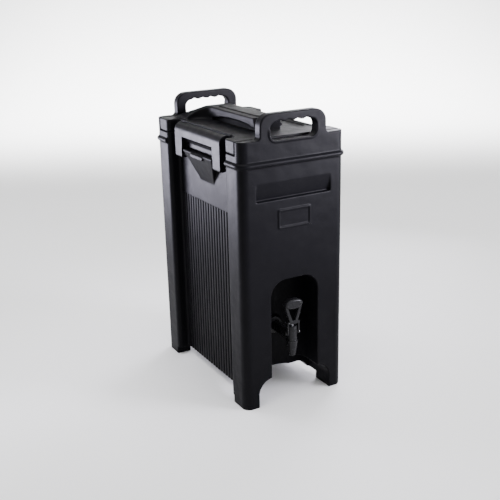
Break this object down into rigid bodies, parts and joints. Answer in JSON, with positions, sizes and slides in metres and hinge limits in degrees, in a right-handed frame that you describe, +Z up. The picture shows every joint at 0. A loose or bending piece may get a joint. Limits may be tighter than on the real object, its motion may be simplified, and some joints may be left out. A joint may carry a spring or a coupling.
{
  "type": "insulated beverage carrier",
  "caption": "Tall insulated food and drink carrier with lift-off gasketed lid, side latches, end handles and a faucet in a front niche.",
  "frame": {"origin": "on the floor, at the middle of the footprint", "axes": "+Z up; the front with the faucet faces -Y; latches on the -X and +X sides"},
  "size_m": [0.254, 0.396, 0.617],
  "materials": {
    "shell": "moulded polyethylene, fine satin texture",
    "liner": "smooth moulded polyethylene",
    "foam": "rigid polyurethane foam, sealed between the skins",
    "latch": "satin nylon",
    "gasket": "soft black rubber",
    "vent": "satin polypropylene",
    "faucet": "polished black plastic",
    "steel": "stainless",
    "silicone": "food-grade silicone"
  },
  "bodies": {
    "tub": {"outer_shell": "shell", "inner_liner": "liner", "foam_core": "foam", "latch_pin_left": "latch", "latch_pin_right": "latch", "faucet_body": "faucet", "faucet_bonnet": "faucet", "lever_pin": "steel", "shank_nut": "faucet", "washer_outer": "gasket", "washer_inner": "silicone", "stem_spring": "steel"},
    "lid": {"lid_shell": "shell", "lid_pan": "liner", "lid_foam": "foam", "lid_gasket": "gasket", "vent_grommet": "gasket"},
    "vent": {"vent_cap": "vent"},
    "latch_l": {"latch_left": "latch"},
    "latch_r": {"latch_right": "latch"},
    "lever": {"faucet_lever": "faucet"},
    "stem": {"valve_stem": "steel", "seat_cup": "silicone"}
  },
  "joints": [
    {"name": "lid_lift", "type": "slide", "parent": "tub", "child": "lid", "axis": [0, 0, 1], "range_m": [0, 0.12]},
    {"name": "vent_pull", "type": "slide", "parent": "lid", "child": "vent", "axis": [0, 0, 1], "range_m": [0, 0.006]},
    {"name": "latch_left_swing", "type": "hinge", "parent": "tub", "child": "latch_l", "pos_m": [-0.1095, 0, 0.502], "axis": [0, -1, 0], "range_deg": [0, 90]},
    {"name": "latch_right_swing", "type": "hinge", "parent": "tub", "child": "latch_r", "pos_m": [0.1095, 0, 0.502], "axis": [0, 1, 0], "range_deg": [0, 90]},
    {"name": "lever_pull", "type": "hinge", "parent": "tub", "child": "lever", "pos_m": [0, -0.181, 0.148], "axis": [1, 0, 0], "range_deg": [0, 35], "stiffness_Nm_per_rad": 0.5, "springref_deg": -20.05},
    {"name": "stem_lift", "type": "slide", "parent": "tub", "child": "stem", "axis": [0, 0, 1], "range_m": [0, 0.004], "deforming": ["stem_spring"]}
  ],
  "couplings": [
    {"joint": "stem_lift", "follows": "lever_pull", "m_per_rad": 0.0065}
  ]
}
